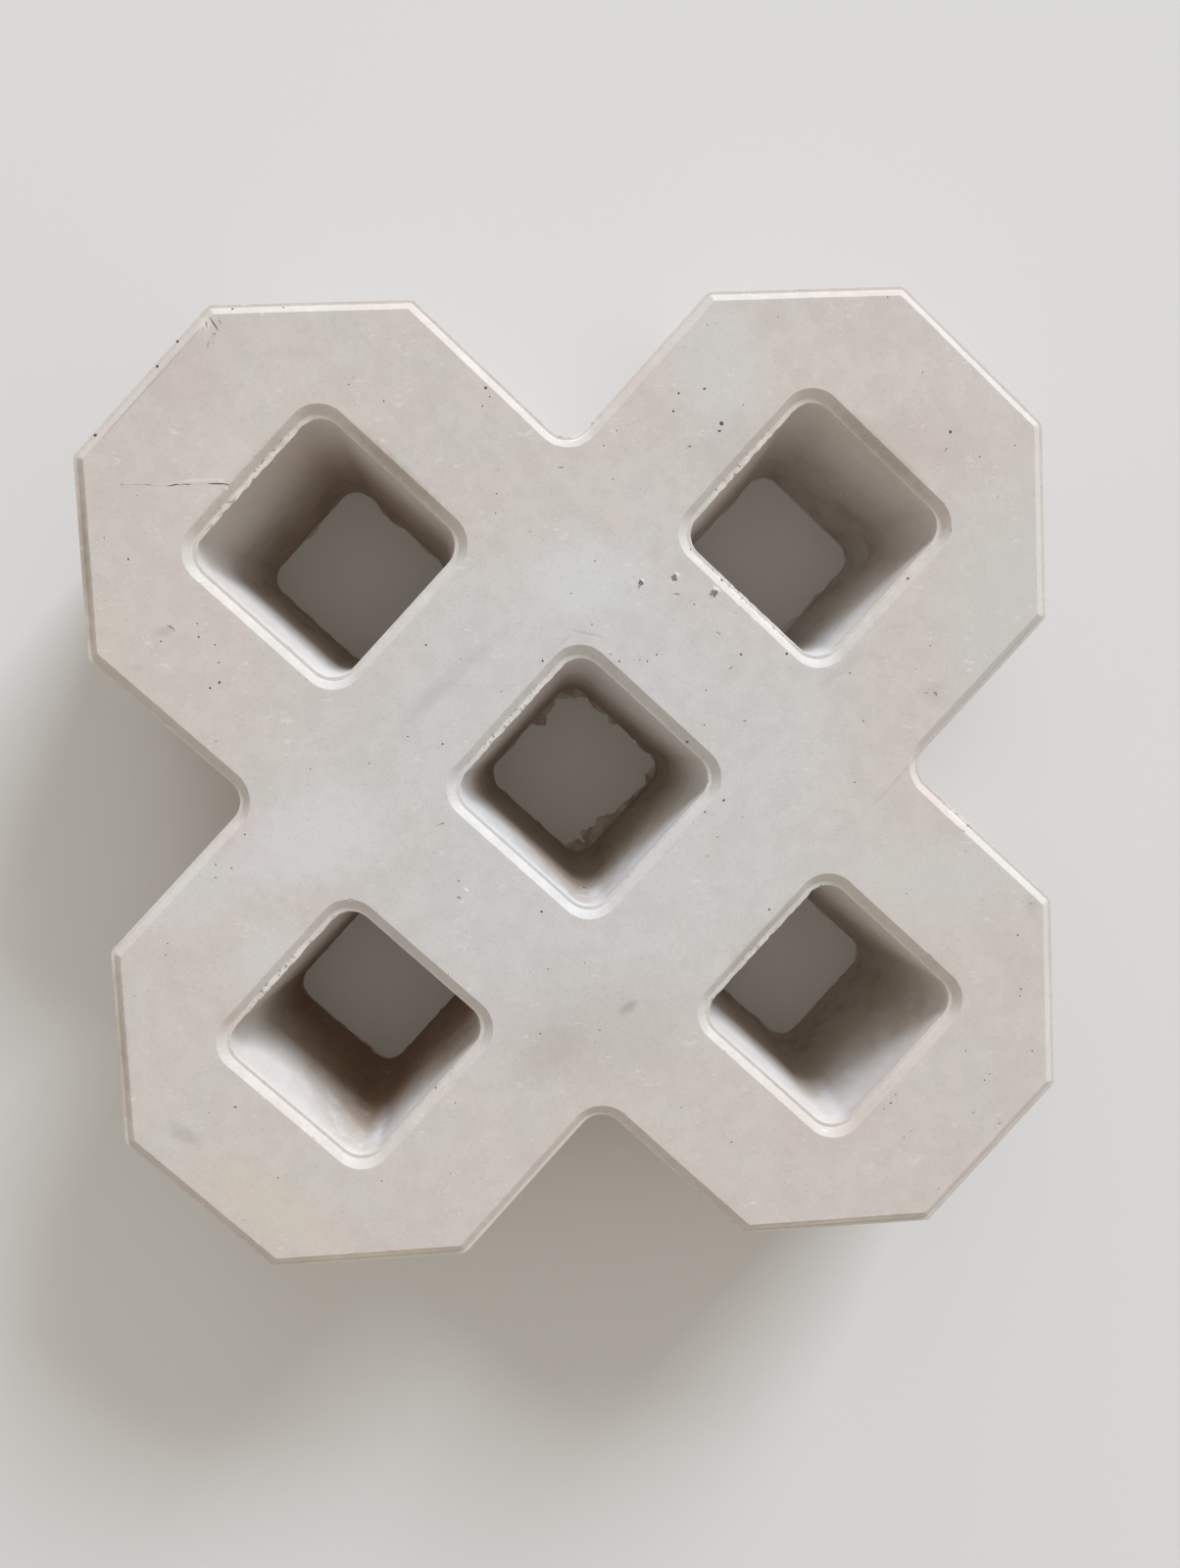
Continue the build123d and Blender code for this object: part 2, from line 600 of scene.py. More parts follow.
# Small pieces broken off the edges of the face, of the ledge (twice as often) and of the underside:
# places in the section as (depth, level), and the least and greatest length, width and depth
edge_chip_count = 52
chip_places = [(face_depth, overall_height), (0, ledge_level), (0, ledge_level), (0, 0.2)]
chip_sizes = [(0.9, 3.6), (0.6, 1.3), (0.5, 1.1)]
chip_roughness = 0.5
outer_chip_share = 0.4

# Lumps that are taken out: their fineness, the sizes of their two swells, the seeds of those swells, and
# the share of its size that a lump keeps clear of the others
fine_lump = 3
plain_lump = 2
lump_swells = (0.9, 0.4)
swell_seeds = (0, 50)
lump_clearance = 0.8
removal_seed = 27

# The hairline crack across the top left lobe, from its outer side to the well
crack_start = (-179.0, 127.5)
crack_end = (-136.5, 126.5)
crack_width = 0.7
crack_depth = 1.3
crack_bend = 1.0

# How wide the crack stands and how much its dashes vary that: (share at its start, added by its end), and
# the pattern of the dashes
crack_opening = (0.15, 0.35)
crack_variation = (0.6, 1.3)
crack_dashes = (3.4, 8.8)

# Short gouges in the top face: (x and y of one end, x and y of the other, width, depth)
gouges = [
    (-140.0, 192.0, -136.5, 186.0, 1.0, 1.1), (-141.5, 191.0, -141.0, 187.5, 0.8, 0.8),
    (-136.5, 191.0, -135.0, 188.5, 0.6, 0.6),
]
gouge_bend = 0.3

# A crack or gouge is a thin wedge along a wandering line
split_step = 0.5
least_split_steps = 3
least_opening = 0.1
split_top = 0.5
split_bends = [(0.9, 9, 2.2), (0.35, 2.3, 5.5)]

# Order of the materials in the shape that is taken out
hole_surface = 0
broken_surface = 1


def ball(subdivisions):
    """Points and faces of an icosphere of radius 1."""
    shape = bmesh.new()
    bmesh.ops.create_icosphere(shape, subdivisions=subdivisions, radius=1)
    points = [vertex.co.copy() for vertex in shape.verts]
    faces = [[vertex.index for vertex in face.verts] for face in shape.faces]
    shape.free()
    return points, faces


balls = {subdivisions: ball(subdivisions) for subdivisions in (plain_lump, fine_lump)}


class Removals:
    """Closed lumps to take out of the casting. No two of them touch."""

    def __init__(self):
        self.rng = random.Random(removal_seed)
        self.points = []
        self.faces = []
        self.surfaces = []
        self.taken = []

    def free(self, place, reach):
        """True where nothing is taken out within that reach."""
        return all(math.dist(place, other) > reach + other_reach for other, other_reach in self.taken)

    def add(self, points, faces, surface):
        """Adds one closed shape with the surface that it leaves."""
        start = len(self.points)
        self.points += points
        self.faces += [[start + i for i in face] for face in faces]
        self.surfaces += [surface] * len(faces)

    def lump(self, place, size, turn, subdivisions, roughness, surface):
        """A ragged lump of that length, width and depth, left out where it would touch another."""
        reach = max(size) * lump_clearance
        if not self.free(place, reach):
            return
        self.taken.append((place, reach))
        seed = self.rng.uniform(*swell_seeds)
        rotation = Matrix.Rotation(turn, 3, "Z")
        points, faces = balls[subdivisions]
        placed = []
        for point in points:
            swell = 1 + roughness * sum(wander(*point, swell_size, seed) for swell_size in lump_swells)
            lump = Vector((point.x * size[0], point.y * size[1], point.z * size[2])) * swell / 2
            placed.append(Vector(place) + rotation @ lump)
        self.add(placed, faces, surface)

    def hole(self, x, y, level, width, roundness, roughness):
        """An air hole in the top face, a bevel or a ledge."""
        place = (x, y, level - width * hole_sink)
        size = (width, width * roundness, width * 2 * hole_depth_share)
        self.lump(place, size, self.rng.uniform(0, math.pi), plain_lump, roughness, hole_surface)

    def split(self, start, end, width, depth, open_share, bend):
        """A thin wedge along a wandering line. The open share says how wide it stands along its length."""
        points, faces = [], []
        start, end = np.array(start), np.array(end)
        length = float(np.linalg.norm(end - start))
        across = np.array([start[1] - end[1], end[0] - start[0]]) / length
        steps = max(least_split_steps, round(length / split_step))
        for step in range(steps + 1):
            share = step / steps
            x, y = start + (end - start) * share
            aside = bend * ripple(split_bends, x, y)
            half = width / 2 * max(least_opening, open_share(share, x))
            above = overall_height + split_top
            for offset, level in ((-half, above), (half, above), (0.0, overall_height - depth)):
                points.append((x + across[0] * (aside + offset), y + across[1] * (aside + offset), level))
            self.taken.append(((x, y, overall_height), width))
        for step in range(steps):
            a, b = 3 * step, 3 * (step + 1)
            for i in range(3):
                j = (i + 1) % 3
                faces.append([a + i, b + i, b + j, a + j])
        last = 3 * steps
        faces += [[0, 1, 2], [last + 2, last + 1, last]]
        self.add(points, faces, hole_surface)

    def crack(self):
        """The hairline crack: dashes that open wider towards the well."""
        def dashes(share, x):
            opening, variation = (first + more * share for first, more in (crack_opening, crack_variation))
            return opening + variation * wander(x, 0, 0, *crack_dashes)
        self.split(crack_start, crack_end, crack_width, crack_depth, dashes, crack_bend)

    def gouge(self, x1, y1, x2, y2, width, depth):
        """A short tear, widest in its middle."""
        self.split((x1, y1), (x2, y2), width, depth, lambda share, x: math.sin(math.pi * share), gouge_bend)

    def place_on_face(self):
        """A random place on the top face or its bevels."""
        reach = overall_width / 2
        while True:
            place = (self.rng.uniform(-reach, reach), self.rng.uniform(-reach, reach))
            if in_concrete(place, side_draft + ledge_width, throat_width / 2 + ledge_width):
                return place

    def place_on_edge(self, depth, level, outside):
        """A random place at one point of the section, and the direction out of the concrete there."""
        if outside:
            points, directions = outline_ring(depth, level)
        else:
            points, directions = well_ring(self.rng.choice(well_centres), depth, level)
        i = self.rng.randrange(len(points))
        return points[i], directions[i]

    def wall_hole(self, outside):
        """An air hole at a random place of the outer walls or of a well's wall."""
        level = self.rng.uniform(*wall_hole_levels)
        point, direction = self.place_on_edge(0, level, outside)
        smallest, largest = outer_wall_hole_widths if outside else well_hole_widths
        width = smallest + (largest - smallest) * self.rng.random() ** wide_hole_rarity
        x, y = point - direction * width * hole_sink
        self.lump((x, y, level), (width, width, width), 0, plain_lump, wall_hole_roughness, hole_surface)

    def edge_chip(self):
        """A small piece broken off the edge of the face, of the ledge or of the underside."""
        depth, level = self.rng.choice(chip_places)
        point, direction = self.place_on_edge(depth, level, self.rng.random() < outer_chip_share)
        along = math.atan2(direction[0], -direction[1])
        size = [self.rng.uniform(*span) for span in chip_sizes]
        self.lump((*point, level), size, along, plain_lump, chip_roughness, broken_surface)


def removals():
    """Everything that is missing from the casting, as one closed shape of separate lumps."""
    shape = Removals()
    for x, y, length, width, depth, turn in pits:
        place = (x, y, face_level(x, y))
        size = (length, width, 2 * depth)
        shape.lump(place, size, math.radians(turn), fine_lump, pit_roughness, broken_surface)
    for x, y, width in large_holes:
        shape.hole(x, y, face_level(x, y), width, **large_hole_form)
    for x, y, level, width in edge_holes:
        shape.hole(x, y, level, width, **large_hole_form)
    shape.crack()
    for gouge in gouges:
        shape.gouge(*gouge)
    for i in range(small_hole_count):
        x, y = shape.place_on_face()
        shape.hole(x, y, face_level(x, y), shape.rng.uniform(*small_hole_widths), **small_hole_form)
    for i in range(outer_wall_hole_count):
        shape.wall_hole(True)
    for i in range(well_hole_count):
        shape.wall_hole(False)
    for i in range(edge_chip_count):
        shape.edge_chip()
    return shape


# Materials

# Socket numbers of a colour Mix node, whose sockets share their names
mix_share, mix_under, mix_over, mix_result = 0, 6, 7, 2

soft = {"interpolation_type": "SMOOTHSTEP"}


def colour(code):
    """Linear colour from an sRGB hex value."""
    parts = [int(code[i:i + 2], 16) / 255 for i in (1, 3, 5)]
    linear = [part / 12.92 if part <= 0.04045 else ((part + 0.055) / 1.055) ** 2.4 for part in parts]
    return (*linear, 1.0)


def add(tree, kind, inputs=(), output=0, **settings):
    """Adds a node with its settings, sets or links its inputs, and gives back one of its outputs. The inputs
    are a list in the node's own order, or go by name or number."""
    node = tree.nodes.new("ShaderNode" + kind)
    for name, value in settings.items():
        setattr(node, name, value)
    for socket, value in (inputs if isinstance(inputs, dict) else dict(enumerate(inputs))).items():
        if isinstance(value, bpy.types.NodeSocket):
            tree.links.new(value, node.inputs[socket])
        else:
            node.inputs[socket].default_value = value
    return node.outputs[output]


# Patterns in the concrete: (size in millimetres, detail, roughness, seed)
patterns = {
    "drying": (60, 2, 0.5, 1),
    "pink clouds": (34, 2, 0.55, 2),
    "green clouds": (30, 2, 0.55, 3),
    "release oil": (8, 3, 0.6, 4),
    "mark edges": (5, 2, 0.6, 5),
    # sand grains of about half a millimetre, drawn nearly twice as coarse so that they show
    "sand": (0.9, 1, 0.6, 6),
    "skin grain": (0.8, 1, 0.6, 7),
    "mould ripple": (6.5, 1, 0.5, 8),
    "dust specks": (1.8, 1, 0.7, 9),
    # scuffs are drawn twice as broad as they are, so that they show
    "scuff dashes": (1.5, 1, 0.5, 10),
    "scuffed places": (13, 1, 0.6, 11),
    "rubbed places": (6, 2, 0.6, 12),
    # patches for the painted shade in the wells and for the soil on the outer walls
    "shade and soil patches": (16, 3, 0.6, 13),
    "mould streaks": (3.5, 2, 0.6, 14),
    "lit patches": (9, 2, 0.6, 15),
    "broken flash": (7, 1, 0.6, 16),
}

# Patterns that are drawn out along an axis: the share by which each axis counts
drawn_out = {"mould streaks": (1, 1, 0.07), "scuff dashes": (0.4, 1, 1)}

# Measures that a pattern makes wander: (the pattern, by how many millimetres, the measure)
wandering = {
    "lobe reach": ("drying", 90, "from middle"),
    # the wandering levels of the painted shade in the wells and of the soil on the outer walls
    "shade and soil level": ("drying", 30, "level"),
    "well shade level": ("shade and soil patches", 30, "shade and soil level"),
    "splash level": ("shade and soil patches", 60, "shade and soil level"),
}

# Where each thing shows, as a soft step along a pattern or a measure: (which, from, to), and the shares at
# those two where they aren't 0 and 1. Levels are in millimetres, and a side that faces +x or +y measures 1.
soft_steps = {
    "lobes": ("lobe reach", 110, 205),
    "pink": ("pink clouds", 0.48, 0.68, 0, 0.55),
    "green": ("green clouds", 0.50, 0.70, 0, 0.5),
    "mottle": ("release oil", 0.35, 0.65),
    "oil": ("release oil", 0.35, 0.65, 0, 0.10),
    "dark sand": ("sand", 0.60, 0.72, 0, 0.22),
    "light sand": ("sand", 0.40, 0.28, 0, 0.22),
    "below ledge": ("level", ledge_level + 0.5, ledge_level - 1.0, 0, 0.30),
    "on wall": ("level", ledge_level, ledge_level - 6.0),
    "well shade patches": ("shade and soil patches", 0.46, 0.66, 0, 0.35),
    "deep": ("level", 70, 25),
    "soil": ("splash level", 110, 40, 0.36, 0.62),
    "streaky": ("outside", 0, 1, 0.15, 0.7),
    "light streaks": ("mould streaks", 0.54, 0.72, 0, 0.25),
    "dark streaks": ("mould streaks", 0.46, 0.28, 0, 0.22),
    "lower sides": ("facing y", 0.2, 0.6),
    "upper sides": ("facing y", -0.2, -0.6, 0, 0.12),
    "lower right side": ("facing x", 0.1, -0.5, 0, 0.5),
    "lit patch share": ("lit patches", 0.44, 0.66, 0, 0.25),
    "high": ("level", 40, 80),
    "fresh": ("broken flash", 0.42, 0.58, 0, 0.5),
    "low": ("level", 1.6, 0.8),
    "on ledge": ("off ledge", 0.7, 0.3),
    "rubbed": ("rubbed places", 0.32, 0.60, 0, 0.55),
    "specks": ("dust specks", 0.55, 0.66, 0, 0.7),
    "dashes": ("scuff dashes", 0.62, 0.70, 0, 0.25),
    "scuffed": ("scuffed places", 0.52, 0.64),
    "dullness": ("mottle", 0, 1, 0.66, 0.78),
}

# The middle of the block dried greyer than the lobes
middle_tone = "#CECAC7"

# Coats over it in the order they came, each a colour and the shares that are multiplied for it
skin_coats = [
    ("#CFC6BE", "lobes"),
    # clouds of pinker and greener grey, a few centimetres wide
    ("#CEC0BA", "pink", "lobes"),
    ("#C9C9C0", "green"),
    # mottling from the release oil, under a centimetre across
    ("#8F867D", "oil"),
]
sand_coats = [
    ("#948B82", "dark sand"),
    ("#DEDAD5", "light sand"),
    # the walls have a paler skin under the ledge
    ("#E4E0DC", "below ledge"),
]
wall_coats = [
    # painted shade: darker brown patches near the bottoms of the wells
    ("#75583F", "well shade patches", "deep", "in wells"),
    # the outer walls stood in soil too: it left a film on them, thickest where it splashed their feet
    ("#9B9083", "soil", "outside", "on wall"),
    # the mould drew streaks up the walls when it was pulled off
    ("#E2DFDA", "light streaks", "streaky", "on wall"),
    ("#8E857B", "dark streaks", "streaky", "on wall"),
    # painted light: pale, bluish patches near the tops of the wells, on their two lower sides, which face
    # the lamps
    ("#E2E3E5", "painted well light", "high", "on wall", "in wells", "lower sides"),
    # painted shade: the two upper sides, which face away from the lamps, a little browner
    ("#BE9C7C", "upper sides", "on wall", "in wells"),
    # the flash at the bottoms of the wells has broken to a fresh, paler edge
    ("#D2C9BE", "fresh", "low", "in wells"),
    # the ledge is rubbed pale where it is rough, and holds dust in its fine pits
    ("#EBE4DA", "rubbed", "on ledge", "rough edge"),
    ("#8A8178", "specks", "on ledge", "rough edge"),
    # short light scuffs
    ("#EFECE8", "dashes", "scuffed"),
]

# Marks on the top face: (x, y, length, width, turn in degrees, strength, colour)
marks = [
    # painted shade: the bevels of the left side, which face away from the lamps, darker and browner
    (-198.5, 100, 13, 96, 0, 0.8, "#9D8D79"),
    (-198.5, -100, 13, 96, 0, 0.65, "#A89883"),
    # painted shade: the bevels of some wells' upper sides, which face away from the lamps, darker and
    # browner
    (-70, 130, 64, 9, -45, 0.55, "#A19483"),
    (130, 130, 64, 9, -45, 0.55, "#A19483"),
    (-130, 130, 64, 9, 45, 0.4, "#B0A597"),
    (70, -70, 64, 9, 45, 0.4, "#B0A597"),
    (3.5, 61.5, 18, 1.7, -14, 0.4, "#A9A39D"),
    (-5, 59.5, 8, 1.5, 40, 0.35, "#A9A39D"),
    # painted light: the bevels of the lower side and of the lower left corner lightened
    (-100, -198.5, 96, 13, 0, 0.8, "#EFE4D2"),
    (100, -198.5, 96, 13, 0, 0.8, "#EFE4D6"),
    (-172, -172, 13, 84, 45, 0.6, "#E6DAC6"),
    (180, 50, 76, 190, 0, 0.85, "#CAC6C0"),
    (62, 168, 50, 70, 0, 0.8, "#CECAC5"),
    (150, -48, 120, 50, -5, 0.8, "#CCC8C2"),
    (-166, -38, 70, 44, 0, 0.7, "#D0CCC8"),
    (0, -105, 110, 66, 0, 0.6, "#C0B9B2"),
    (14, -95, 12, 6, 35, 0.6, "#A09D98"),
    (109, 42, 34, 6, 36, 0.35, "#B3AFA6"),
    (-51, 47, 74, 9, 39, 0.3, "#B9B2B4"),
    (-62, 36, 60, 7, 41, 0.25, "#BDB7B9"),
    (-21, -113, 46, 26, 40, 0.3, "#AFA59A"),
    (-172, -137.5, 22, 9, -32, 0.4, "#A89F95"),
    (5, 84, 70, 42, 5, 0.6, "#D6D6D7"),
    (-115, -18, 90, 48, 20, 0.6, "#D7D4D6"),
    (155, 134, 60, 34, -40, 0.55, "#C9B8B1"),
    (-134, -66, 50, 40, 45, 0.5, "#D3D0CC"),
    (64.5, 135.5, 44, 32, 45, 0.4, "#BDB9B4"),
    (-135, 135, 40, 30, 45, 0.4, "#D8D0C7"),
    (135, 135, 40, 30, -45, 0.3, "#BFB0A8"),
    (-51, -41.5, 3.4, 1.4, -40, 0.8, "#F1EDE8"),
    (-53, -46.5, 3, 1.2, 30, 0.6, "#EBE7E2"),
    (-165.5, 165.5, 80, 1.3, 45, 0.42, "#9A918B"),
    # painted shade: darker lines in the crease where the ledge meets the bevel, on the lower sides
    (-100, -196.5, 150, 2.6, 0, 0.42, "#83776A"),
    (100, -196.5, 150, 2.6, 0, 0.44, "#83776A"),
    (168.5, -168.5, 150, 2.6, 45, 0.26, "#83776A"),
    (168.5, 32.5, 150, 2.6, 45, 0.32, "#83776A"),
    (-141.5, 189, 8, 5.5, 35, 0.55, "#E2DAD3"),
    (-141, 181, 1.6, 4.6, -15, 0.55, "#9F9792"),
    (-139, 181.5, 1.3, 2.2, 0, 0.5, "#A29A94"),
    (-139, 184, 4.6, 1.6, 60, 0.3, "#ADA49E"),
    (-142.5, 187, 1.2, 2.2, 10, 0.45, "#ABA29B"),
    (-148, 128.5, 22, 1.5, 2, 0.6, "#E3DCD5"),
    (-137.5, 125, 2.4, 1.8, 20, 0.85, "#EFE9E3"),
    (-139.5, 128, 3.4, 1, -30, 0.7, "#E9E3DD"),
    # painted highlights beside the three large pits, where the lit upper right sides of raised crumbs would
    # be
    (58, 77.5, 4.6, 1.7, -34, 0.9, "#F1EDE8"),
    (42, 84, 3.4, 1.4, -34, 0.85, "#F1EDE8"),
    (27.5, 82, 2.8, 1.4, -34, 0.85, "#F1EDE8"),
    (-166, 69.5, 11, 6, 10, 0.4, "#A9A19B"),
    (-177.5, 55.5, 7, 5, 0, 0.35, "#ACA8A2"),
    (147, 30.5, 18, 13, -45, 0.35, "#B9AFA7"),
    (187.5, -61.5, 9, 14, 10, 0.35, "#B0ADA5"),
    (-140, -170, 90, 30, -38, 0.45, "#D2C6B4"),
    (-188, 60, 24, 80, 4, 0.3, "#CFC2B1"),
    (100, -150, 80, 34, 8, 0.35, "#C6B5AE"),
    (-150, 165, 70, 28, 42, 0.3, "#C4B3AE"),
]

# How much a mark's edge wanders, the reach up to which it is at full strength and the reach at which it is
# gone, all as shares of its half size, and half its height in millimetres
mark_raggedness = 0.9
mark_fade = (0.70, 1.55)
mark_half_height = 20

# Painted shade, darker and browner low down in each well: (x, y, strength, fall of its top to x and to y,
# colour)
painted_well_shade = [
    (-100, 100, 0.76, -0.6, 0.0, "#97836E"),
    (100, 100, 0.36, -0.5, 0.3, "#94877B"),
    (0, 0, 0.84, 0.0, 0.7, "#97836E"),
    (-100, -100, 0.90, -0.4, 0.5, "#86674B"),
    (100, -100, 0.58, -0.4, 0.4, "#917C66"),
]

# Soft steps at a well's edge from its middle, at the top of its painted shade and towards its low corner:
# (from, to)
well_edge = (66, 58)
well_shade_top = (120, 50)
near_low_corner = (-10, -38)

# The bare surfaces: painted shade in the air holes, and sand between dark and light where the concrete has
# broken
hole_shade = "#66615C"
hole_shade_share = 0.40
broken_sand = ("#6F6B67", "#E8E4DF")
broken_sand_share = 0.55

# Fine relief, as heights in millimetres: the grain of each surface and the mould's slight ripple
grain_height = {"skin": 0.06, "hole": 0.06, "broken": 0.25}
ripple_height = 0.15
bump_strength = 0.5
concrete_ior = 1.5


def lay(tree, under, over, shares):
    """Lays one colour over another, by shares that are multiplied together."""
    share = shares[0]
    for other in shares[1:]:
        share = add(tree, "Math", [share, other], operation="MULTIPLY")
    inputs = {mix_share: share, mix_under: under, mix_over: over}
    return add(tree, "Mix", inputs, mix_result, data_type="RGBA")


def mark_share(tree, place, edges, x, y, length, width, turn, strength):
    """Where one soft mark shows."""
    inputs = {
        "Vector": place,
        "Location": (x, y, overall_height),
        "Rotation": (0, 0, math.radians(turn)),
        "Scale": (length / 2, width / 2, mark_half_height),
    }
    local = add(tree, "Mapping", inputs, vector_type="TEXTURE")
    away = add(tree, "VectorMath", [local], "Value", operation="LENGTH")
    reach = add(tree, "Math", [edges, mark_raggedness, away], operation="MULTIPLY_ADD")
    return add(tree, "MapRange", [reach, *mark_fade, strength, 0], **soft)


def cast_concrete(name, surface):
    """Fine grey concrete cast against plastic: a closed, dull skin of cement paste, cloudy where water and
    release oil lay, with a fine grain. Inside the air holes the paste is rougher and painted darker as
    shade, and where the edge has broken the sand shows."""
    material = bpy.data.materials.new(name)
    material.use_nodes = True
    tree = material.node_tree
    shader = tree.nodes["Principled BSDF"]
    shader.inputs["IOR"].default_value = concrete_ior

    metres = add(tree, "TexCoord", output="Object")
    place = add(tree, "VectorMath", {0: metres, "Scale": 1 / MM}, operation="SCALE")
    flat = add(tree, "VectorMath", [place, (1, 1, 0)], operation="MULTIPLY")
    facing = add(tree, "TexCoord", output="Normal")

    # what is found at a place on the block, by name: measures, patterns and how much of each thing shows
    found = {
        "level": add(tree, "SeparateXYZ", [place], "Z"),
        "from middle": add(tree, "VectorMath", [flat], "Value", operation="LENGTH"),
        "facing x": add(tree, "SeparateXYZ", [facing], "X"),
        "facing y": add(tree, "SeparateXYZ", [facing], "Y"),
    }
    for word, (size, detail, roughness, seed) in patterns.items():
        drawn = place
        if word in drawn_out:
            drawn = add(tree, "VectorMath", [place, drawn_out[word]], operation="MULTIPLY")
        inputs = {
            "Vector": drawn,
            "Scale": 1 / size,
            "Detail": detail,
            "Roughness": roughness,
            # the node scales its seed too, so the seeds stand a metre apart
            "W": seed / MM,
        }
        found[word] = add(tree, "TexNoise", inputs, noise_dimensions="4D")
    for word, (pattern, reach, measure) in wandering.items():
        inputs = [found[pattern], reach, found[measure]]
        found[word] = add(tree, "Math", inputs, operation="MULTIPLY_ADD")
    above_ledge = add(tree, "Math", [found["level"], ledge_level], operation="SUBTRACT")
    found["off ledge"] = add(tree, "Math", [above_ledge], operation="ABSOLUTE")

    # how far inside a well a place is, how near to its low corner, and the painted shade in it
    in_wells, low_corners = 0.0, 0.0
    well_shade_coats = []
    for x, y, strength, fall_x, fall_y, code in painted_well_shade:
        from_well = add(tree, "VectorMath", [flat, (x, y, 0)], operation="SUBTRACT")
        away = add(tree, "VectorMath", [from_well], "Value", operation="LENGTH")
        in_well = add(tree, "MapRange", [away, *well_edge], **soft)
        in_wells = add(tree, "Math", [in_wells, in_well], operation="ADD")
        aside = add(tree, "SeparateXYZ", [from_well], "Y")
        low_corner = add(tree, "MapRange", [aside, *near_low_corner], **soft)
        inputs = [low_corner, in_well, low_corners]
        low_corners = add(tree, "Math", inputs, operation="MULTIPLY_ADD")
        higher = add(tree, "VectorMath", [from_well, (fall_x, fall_y, 0)], "Value", operation="DOT_PRODUCT")
        well_shade_level = add(tree, "Math", [found["well shade level"], higher], operation="ADD")
        shade_share = add(tree, "MapRange", [well_shade_level, *well_shade_top, 0, strength], **soft)
        well_shade_coats.append((colour(code), [shade_share, in_well]))
    found["in wells"] = in_wells
    found["outside"] = add(tree, "Math", [1.0, in_wells], operation="SUBTRACT")

    rough = usual_roughness
    for x, y, reach in rough_stretches:
        away = add(tree, "VectorMath", [place, (x, y, ledge_level)], "Value", operation="DISTANCE")
        near = add(tree, "MapRange", [away, reach, reach / 2], **soft)
        rough = add(tree, "Math", [rough, near], operation="MAXIMUM")
    found["rough edge"] = rough

    for word, (measure, *span) in soft_steps.items():
        found[word] = add(tree, "MapRange", [found[measure], *span], **soft)
    # the painted light lies in patches, and all over a well's lower right side near the low corner
    inputs = [low_corners, found["lower right side"], found["lit patch share"]]
    found["painted well light"] = add(tree, "Math", inputs, operation="MULTIPLY_ADD")

    def named(coats):
        """Coats with their colour and with their shares looked up."""
        return [(colour(code), [found[word] for word in words]) for code, *words in coats]
    layers = named(skin_coats)
    for *shape, code in marks:
        layers.append((colour(code), [mark_share(tree, place, found["mark edges"], *shape)]))
    # painted shade low down in the wells, on their walls
    layers += named(sand_coats) + [(over, [*shares, found["on wall"]]) for over, shares in well_shade_coats]
    layers += named(wall_coats)
    # painted shade: the colour inside the air holes is darkened
    if surface == "hole":
        layers.append((colour(hole_shade), [hole_shade_share]))
    if surface == "broken":
        sand = lay(tree, *(colour(code) for code in broken_sand), [found["sand"]])
        layers.append((sand, [broken_sand_share]))
    tone = colour(middle_tone)
    for over, shares in layers:
        tone = lay(tree, tone, over, shares)
    tree.links.new(tone, shader.inputs["Base Color"])
    tree.links.new(found["dullness"], shader.inputs["Roughness"])

    # the second relief lies on the first
    relief = {"Strength": bump_strength}
    for pattern, height in (("skin grain", grain_height[surface]), ("mould ripple", ripple_height)):
        relief |= {"Height": found[pattern], "Distance": height * MM}
        relief["Normal"] = add(tree, "Bump", relief)
    tree.links.new(relief["Normal"], shader.inputs["Normal"])
    return material


# The piece

sharp_edge = math.radians(35)


def take_shape(piece):
    """Makes the shape that the piece's modifiers give it its own."""
    graph = bpy.context.evaluated_depsgraph_get()
    finished = bpy.data.meshes.new_from_object(piece.evaluated_get(graph))
    piece.modifiers.clear()
    piece.data = finished
    finished.name = piece.name


def make_paver_casting():
    """The block with everything that the mould and the years left on it."""
    skin = cast_concrete("smooth_cast_concrete", "skin")
    hole = cast_concrete("concrete_in_air_holes", "hole")
    broken = cast_concrete("broken_concrete", "broken")
    casting = cast_block()
    missing = removals()
    piece = new_mesh("paver_casting", casting.points, casting.faces, [skin])
    tool = new_mesh("missing_parts", missing.points, missing.faces, [hole, broken])
    tool.data.polygons.foreach_set("material_index", missing.surfaces)
    cut = piece.modifiers.new("cut", "BOOLEAN")
    cut.operation = "DIFFERENCE"
    cut.solver = "MANIFOLD"
    cut.material_mode = "TRANSFER"
    cut.object = tool
    take_shape(piece)
    bpy.data.objects.remove(tool)
    piece.data.shade_smooth()
    piece.data.set_sharp_from_angle(angle=sharp_edge)
    # keeps the flat faces flat beside the small rounds of the edges
    crisp = piece.modifiers.new("crisp", "WEIGHTED_NORMAL")
    crisp.keep_sharp = True
    take_shape(piece)
    return piece


paver_casting = make_paver_casting()
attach(paver_casting, "root")
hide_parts("paver_block")


# The studio

floor_colour = "#DCDAD7"
floor_roughness = 0.9
floor_reach = 15000

# Softboxes that face the block: (azimuth and elevation in degrees, width and height in metres, level).
# The level is what one adds to a white surface that faces it.
softboxes = {
    "key": (56, 24, 15.0, 12.0, 1.10),
    "back_light": (98, 10, 24.0, 8.0, 0.24),
}
softbox_distance = 40.0
softbox_tint = "#E9F3FF"

# Soft light from every side, and the backdrop that is seen and mirrored instead of it
surrounding_tint = "#FFF9F0"
surrounding_level = 0.57
backdrop_colour = "#D6D4D0"

# The camera above the block, a little left of its middle, looking almost straight down
camera_lens = 26.0
camera_film_width = 36
camera_nearest = 0.01
camera_place = (-22.8, 31.8, 566.2)
camera_turn = (-3.804, -3.238, -2.641)


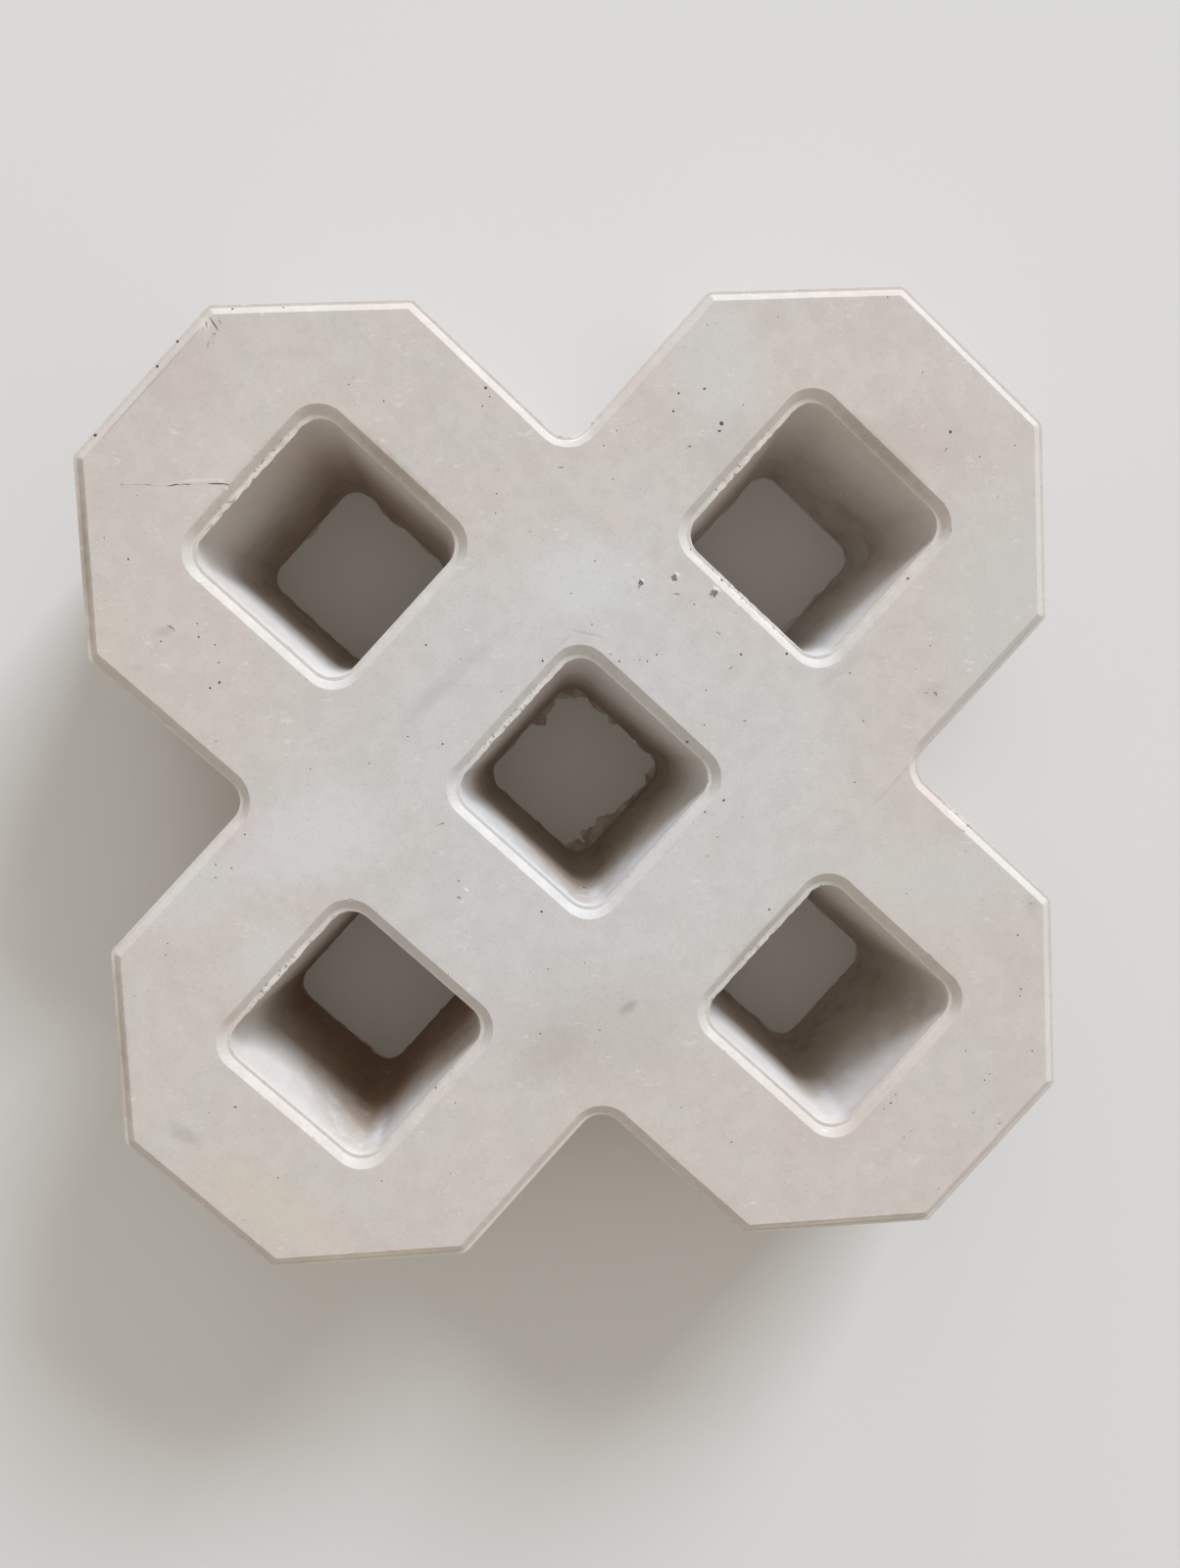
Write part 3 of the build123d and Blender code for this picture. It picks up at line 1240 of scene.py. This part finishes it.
def studio_floor():
    """A plain pale floor."""
    material = bpy.data.materials.new("pale_floor")
    material.use_nodes = True
    shader = material.node_tree.nodes["Principled BSDF"]
    shader.inputs["Base Color"].default_value = colour(floor_colour)
    shader.inputs["Roughness"].default_value = floor_roughness
    corners = [(floor_reach * x, floor_reach * y, 0) for x, y in ((-1, -1), (1, -1), (1, 1), (-1, 1))]
    floor = new_mesh("floor", corners, [[0, 1, 2, 3]], [material])
    floor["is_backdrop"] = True


def softbox(name, azimuth, elevation, width, height, level):
    """A lamp that faces the block."""
    lamp = bpy.data.lights.new(name, "AREA")
    lamp.shape = "RECTANGLE"
    lamp.size = width
    lamp.size_y = height
    lamp.energy = level * math.pi ** 2 * softbox_distance ** 2
    lamp.color = colour(softbox_tint)[:3]
    holder = bpy.data.objects.new(name, lamp)
    azimuth, elevation = math.radians(azimuth), math.radians(elevation)
    across = math.cos(elevation)
    away = Vector((across * math.cos(azimuth), across * math.sin(azimuth), math.sin(elevation)))
    holder.location = away * softbox_distance
    holder.rotation_euler = away.to_track_quat("Z", "Y").to_euler()
    bpy.context.scene.collection.objects.link(holder)


def studio_light():
    """Soft light from every side, a softbox low behind the right-hand side and a weaker one behind."""
    for name, setting in softboxes.items():
        softbox(name, *setting)
    world = bpy.data.worlds.new("studio")
    world.use_nodes = True
    tree = world.node_tree
    light = tree.nodes["Background"]
    light.inputs["Color"].default_value = colour(surrounding_tint)
    light.inputs["Strength"].default_value = surrounding_level
    backdrop = add(tree, "Background", {"Color": colour(backdrop_colour), "Strength": 1.0})
    seen = add(tree, "LightPath", output="Is Camera Ray")
    for ray in ("Is Glossy Ray", "Is Transmission Ray"):
        mirrored = add(tree, "LightPath", output=ray)
        seen = add(tree, "Math", [seen, mirrored], operation="MAXIMUM")
    both = add(tree, "MixShader", [seen, light.outputs[0], backdrop])
    tree.links.new(both, tree.nodes["World Output"].inputs["Surface"])
    bpy.context.scene.world = world


def photograph_camera():
    """The camera at the photograph's place."""
    camera = bpy.data.cameras.new("camera")
    camera.sensor_width = camera_film_width
    camera.lens = camera_lens
    camera.clip_start = camera_nearest
    holder = bpy.data.objects.new("camera", camera)
    holder.location = Vector(camera_place) * MM
    holder.rotation_euler = [math.radians(angle) for angle in camera_turn]
    bpy.context.scene.collection.objects.link(holder)
    bpy.context.scene.camera = holder


studio_floor()
studio_light()
photograph_camera()
bpy.context.scene.view_settings.view_transform = "Standard"

boxes = {"cad": cad_box, "visual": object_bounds()}
{name: [list(corner) for corner in box] for name, box in boxes.items()}
